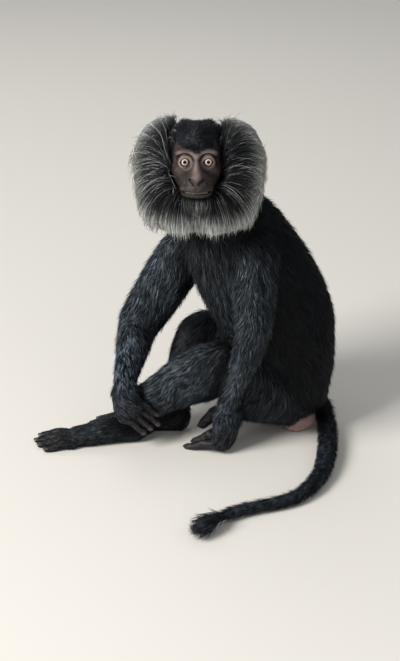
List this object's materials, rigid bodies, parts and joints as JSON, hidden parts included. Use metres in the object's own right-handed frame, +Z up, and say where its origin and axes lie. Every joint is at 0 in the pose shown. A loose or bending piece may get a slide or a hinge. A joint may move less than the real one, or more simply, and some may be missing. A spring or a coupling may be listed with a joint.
{
  "type": "seated lion-tailed macaque model",
  "caption": "Life-size black monkey with a silver-grey ruff, sitting hunched with knees drawn up, one arm propped on the floor and a tufted tail laid round it.",
  "frame": {"origin": "on the floor, under the middle of the model's bounding box", "axes": "+Z up; the animal sits facing -Y with its left side towards +X and its head turned towards its left"},
  "size_m": [0.3968, 0.4244, 0.4706],
  "materials": {
    "black_coat": "long straight black hair with a slate sheen",
    "mane_hair": "long silver-grey hair, charcoal near the face",
    "face_skin": "satin, finely creased",
    "bare_skin": "satin, creased",
    "seat_pad": "matt, horny",
    "eye": "wet gloss",
    "nail": "satin horn",
    "tooth": "wet gloss"
  },
  "bodies": {
    "root": {"eye_left": "eye", "eye_right": "eye", "finger_2_left": "bare_skin", "finger_2_right": "bare_skin", "finger_3_left": "bare_skin", "finger_3_right": "bare_skin", "finger_4_left": "bare_skin", "finger_4_right": "bare_skin", "finger_5_left": "bare_skin", "finger_5_right": "bare_skin", "foot_left": "black_coat", "foot_right": "black_coat", "forearm_left": "black_coat", "forearm_right": "black_coat", "hand_left": "bare_skin", "hand_right": "bare_skin", "head": "face_skin", "mane": "mane_hair", "neck": "black_coat", "seat_pad_left": "seat_pad", "seat_pad_right": "seat_pad", "shin_left": "black_coat", "shin_right": "black_coat", "tail_base": "black_coat", "tail_end": "black_coat", "tail_middle": "black_coat", "tail_tuft": "black_coat", "thigh_left": "black_coat", "thigh_right": "black_coat", "thumb_left": "bare_skin", "thumb_right": "bare_skin", "toe_1_left": "bare_skin", "toe_1_right": "bare_skin", "toe_2_left": "bare_skin", "toe_2_right": "bare_skin", "toe_3_left": "bare_skin", "toe_3_right": "bare_skin", "toe_4_left": "bare_skin", "toe_4_right": "bare_skin", "toe_5_left": "bare_skin", "toe_5_right": "bare_skin", "trunk": "black_coat", "upper_arm_left": "black_coat", "upper_arm_right": "black_coat"}
  },
  "joints": []
}
